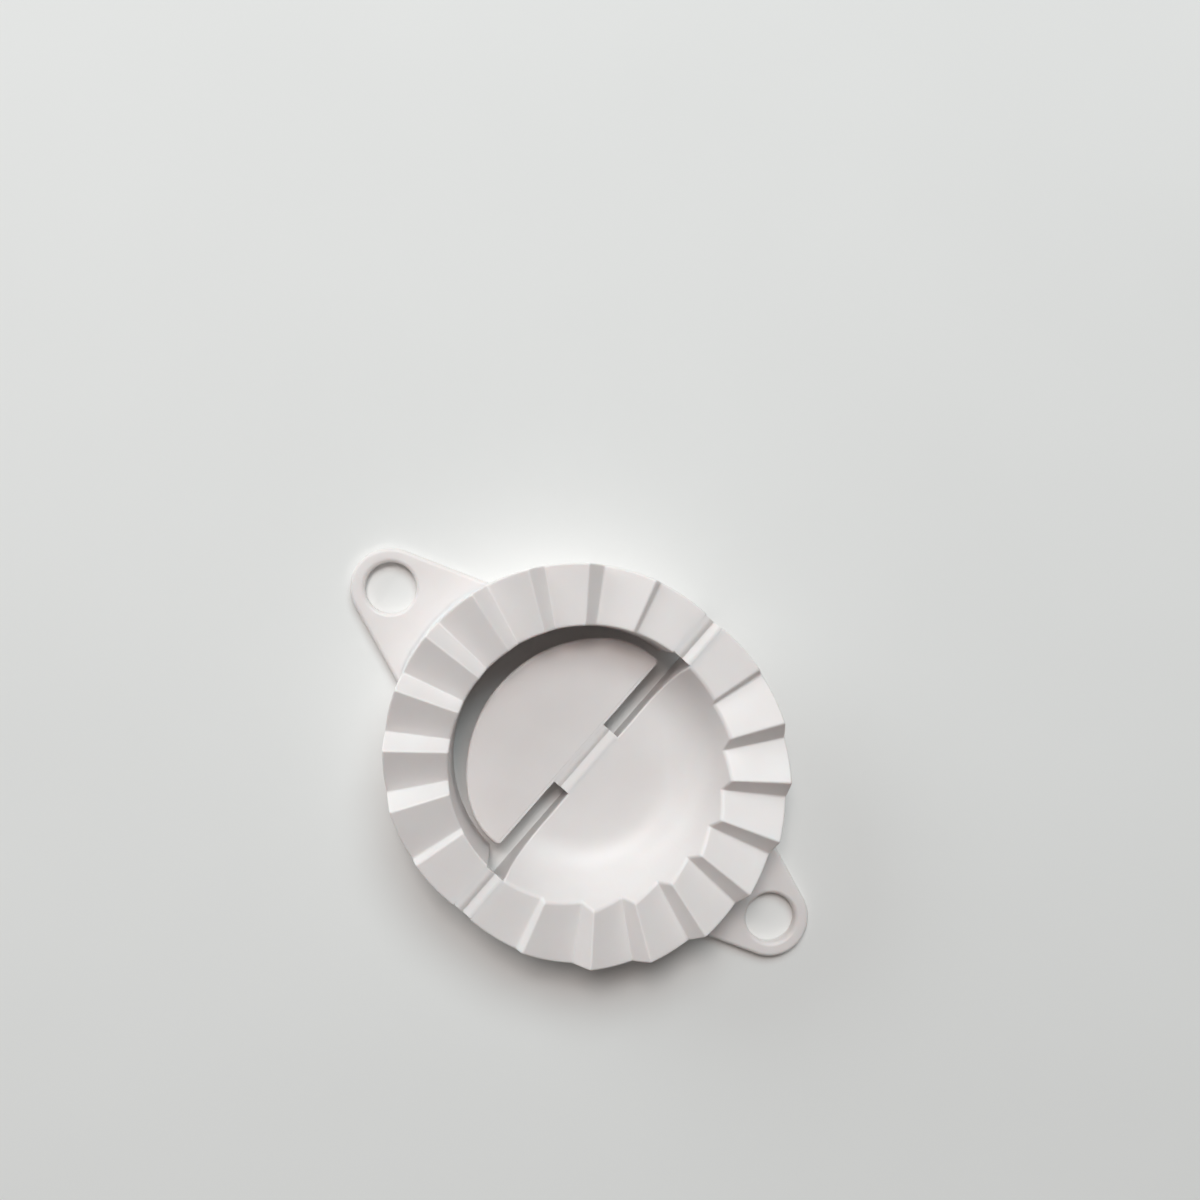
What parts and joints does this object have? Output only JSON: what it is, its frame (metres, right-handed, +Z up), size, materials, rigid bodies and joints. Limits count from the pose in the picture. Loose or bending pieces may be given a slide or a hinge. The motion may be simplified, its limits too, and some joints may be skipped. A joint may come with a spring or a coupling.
{
  "type": "gyoza press",
  "caption": "Folding dumpling press shown open: a dish half and an open ring half with matching crimped rims, ears with holes, and a folding flap, on film hinges.",
  "frame": {"origin": "middle of the hinge line, on the plane that the open press lies on", "axes": "+X from the hinge line to the dish half's ear, +Y along the hinge line, +Z up"},
  "size_m": [0.1518, 0.094, 0.024],
  "materials": {
    "moulding": "semi-gloss warm white polypropylene"
  },
  "bodies": {
    "bowl_half": {"bowl_rim": "moulding", "bowl_dish": "moulding", "bowl_ear": "moulding", "rim_hinge_1": "moulding", "rim_hinge_2": "moulding", "flap_hinge": "moulding"},
    "ring_half": {"ring_rim": "moulding", "ring_ear": "moulding"},
    "flap": {"flap_plate": "moulding"}
  },
  "joints": [
    {"name": "ring_fold", "type": "hinge", "parent": "bowl_half", "child": "ring_half", "pos_m": [0, 0, 0.022], "axis": [0, 1, 0], "range_deg": [0, 180], "deforming": ["rim_hinge_1", "rim_hinge_2"]},
    {"name": "flap_fold", "type": "hinge", "parent": "bowl_half", "child": "flap", "pos_m": [0, 0, 0.009], "axis": [0, 1, 0], "range_deg": [0, 110], "deforming": ["flap_hinge"]}
  ]
}
